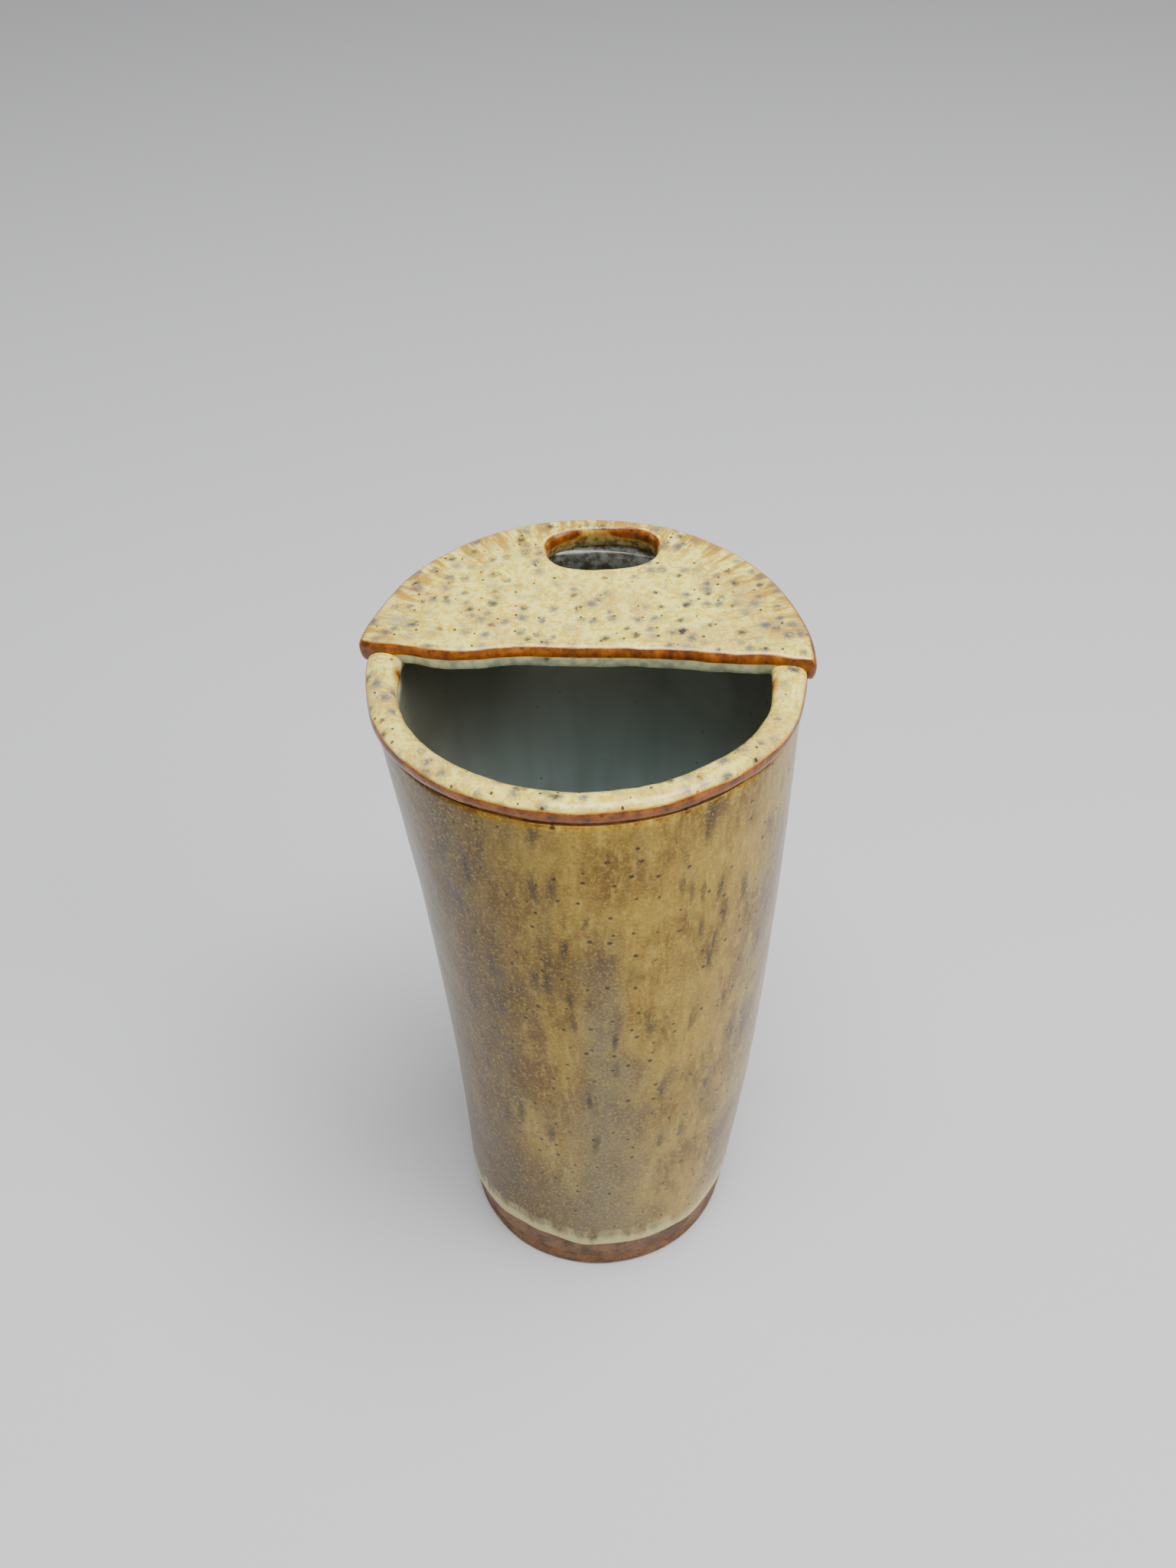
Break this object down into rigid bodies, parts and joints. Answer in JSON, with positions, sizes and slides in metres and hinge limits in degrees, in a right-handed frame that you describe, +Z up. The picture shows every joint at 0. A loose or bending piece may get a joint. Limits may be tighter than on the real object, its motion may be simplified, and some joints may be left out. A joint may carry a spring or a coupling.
{
  "type": "stoneware vase",
  "caption": "Tapered round stoneware vase, its mouth half closed by a half-moon deck with an oval hole, glazed ochre outside, cream on the deck and pale inside.",
  "frame": {"origin": "centre of the foot, on the surface that the vase stands on", "axes": "+Z up along the vase's axis, -Y towards the open half of the mouth, +Y towards the deck with the oval hole, +X to the right seen from -Y"},
  "size_m": [0.1025, 0.1018, 0.1951],
  "materials": {
    "bare_foot_clay": "unglazed fired stoneware, matt purplish brown",
    "stoneware_clay": "fired iron-rich stoneware, rust brown where the glaze breaks",
    "ochre_glaze": "glossy mottled golden ochre glaze with grey streaks and iron specks",
    "cream_glaze": "glossy pale butter-yellow glaze with blue-grey mottles and iron specks",
    "pale_liner_glaze": "smooth glossy pale blue-grey liner glaze"
  },
  "bodies": {
    "root": {"base_slab": "bare_foot_clay", "body_wall": "stoneware_clay", "front_lip": "stoneware_clay", "deck_slab": "stoneware_clay", "seam_left": "stoneware_clay", "seam_right": "stoneware_clay", "outer_glaze": "ochre_glaze", "lip_glaze": "cream_glaze", "deck_glaze": "cream_glaze", "underside_glaze": "pale_liner_glaze", "liner_glaze": "pale_liner_glaze"}
  },
  "joints": []
}
